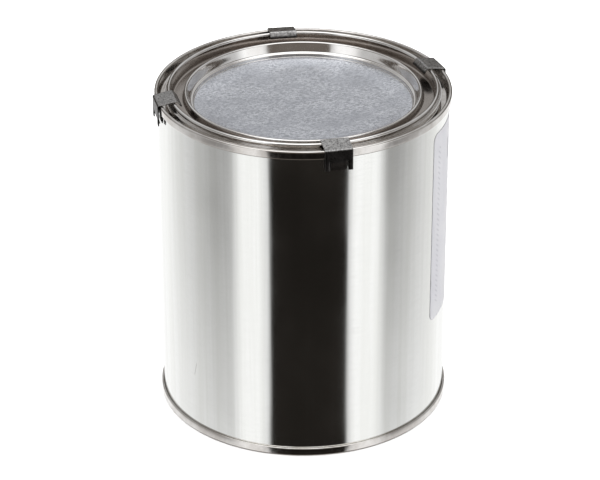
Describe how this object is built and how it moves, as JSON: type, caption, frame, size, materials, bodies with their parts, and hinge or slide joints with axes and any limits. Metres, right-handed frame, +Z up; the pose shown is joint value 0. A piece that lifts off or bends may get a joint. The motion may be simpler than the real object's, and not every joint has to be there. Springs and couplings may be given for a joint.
{
  "type": "paint can",
  "caption": "Round tinplate paint can with a friction lid seated in its closure ring and spring clips over the rim; the clips swing open and the lid lifts off.",
  "frame": {"origin": "centre of the can's axis on the plane it stands on, the bottom seam's lowest face", "axes": "+Z up along the can's axis, -Y towards the front clip, +X towards the labelled right side"},
  "size_m": [0.1093, 0.1094, 0.1253],
  "materials": {
    "tinplate_body": "bright tinplate with fine grain around the can",
    "tinplate_ends": "bright tinplate",
    "tinplate_lid": "bright tinplate, matt speckled centre panel",
    "clip_steel": "dark oxide spring steel",
    "seam_compound": "dried sealing compound",
    "label_paper": null
  },
  "bodies": {
    "can": {"body_shell": "tinplate_body", "bottom_end": "tinplate_ends", "closure_ring": "tinplate_ends", "top_seam_compound": "seam_compound", "bottom_seam_compound": "seam_compound", "label": "label_paper"},
    "lid": {"lid": "tinplate_lid"},
    "clip_front": {"clip_front": "clip_steel"},
    "clip_right": {"clip_right": "clip_steel"},
    "clip_back": {"clip_back": "clip_steel"},
    "clip_left": {"clip_left": "clip_steel"}
  },
  "joints": [
    {"name": "lid_lift", "type": "slide", "parent": "can", "child": "lid", "axis": [0, 0, 1], "range_m": [0, 0.09]},
    {"name": "clip_front_swing", "type": "hinge", "parent": "lid", "child": "clip_front", "pos_m": [0, -0.04855, 0.12385], "axis": [-1, 0, 0], "range_deg": [0, 45]},
    {"name": "clip_right_swing", "type": "hinge", "parent": "lid", "child": "clip_right", "pos_m": [0.04795, 0.0076, 0.12385], "axis": [0.1564, -0.9877, 0], "range_deg": [0, 45]},
    {"name": "clip_back_swing", "type": "hinge", "parent": "lid", "child": "clip_back", "pos_m": [0.00339, 0.04843, 0.12385], "axis": [0.9976, -0.0698, 0], "range_deg": [0, 45]},
    {"name": "clip_left_swing", "type": "hinge", "parent": "lid", "child": "clip_left", "pos_m": [-0.04855, 0, 0.12385], "axis": [0, 1, 0], "range_deg": [0, 45]}
  ]
}
